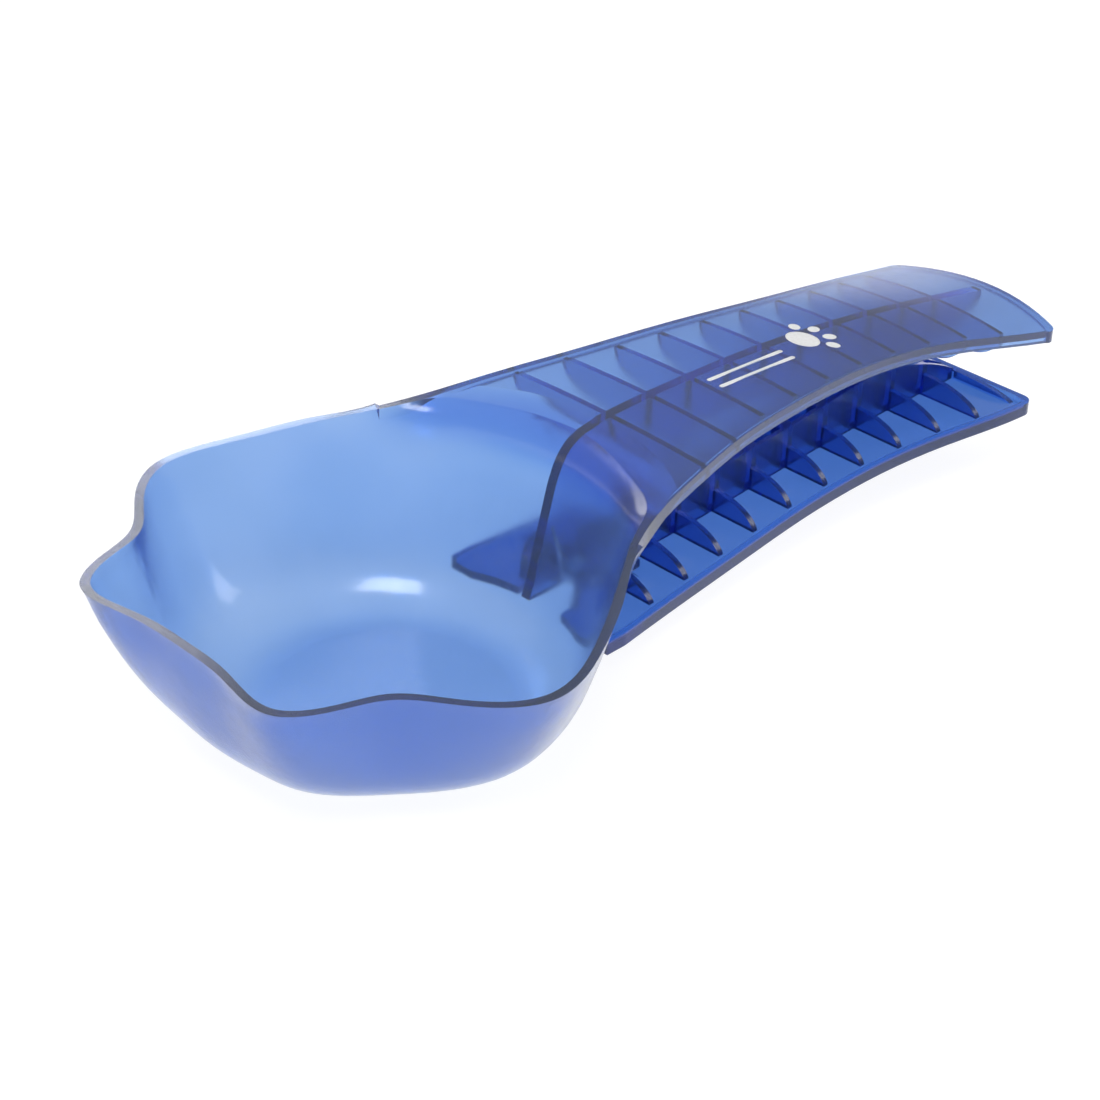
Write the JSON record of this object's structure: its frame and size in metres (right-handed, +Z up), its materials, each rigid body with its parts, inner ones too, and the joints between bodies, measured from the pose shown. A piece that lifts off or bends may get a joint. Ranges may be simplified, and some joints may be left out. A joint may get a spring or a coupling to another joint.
{
  "type": "feed scoop",
  "caption": "Translucent plastic feed scoop: scalloped round bowl with a waisted ribbed handle that is the upper jaw of a sprung bag clip.",
  "frame": {"origin": "middle of the bounding box in plan, on the plane the bowl's flat base stands on", "axes": "+X from the scalloped lip to the tail of the handle, +Y across, +Z up; the hinge axis is along Y"},
  "size_m": [0.2361, 0.1144, 0.0448],
  "materials": {
    "blue_plastic": "translucent blue, satin-gloss",
    "blue_plastic_arm": "translucent blue, satin-gloss",
    "steel": "plain ground steel",
    "spring_steel": "bright spring wire"
  },
  "bodies": {
    "scoop": {"scoop_body": "blue_plastic", "hinge_pin": "steel", "torsion_spring": "spring_steel"},
    "arm": {"clip_arm": "blue_plastic_arm"}
  },
  "joints": [
    {"name": "clip_hinge", "type": "hinge", "parent": "scoop", "child": "arm", "pos_m": [-0.0185, 0, 0.0125], "axis": [0, 1, 0], "range_deg": [0, 15], "stiffness_Nm_per_rad": 0.12, "springref_deg": -68.75, "deforming": ["torsion_spring"]}
  ]
}
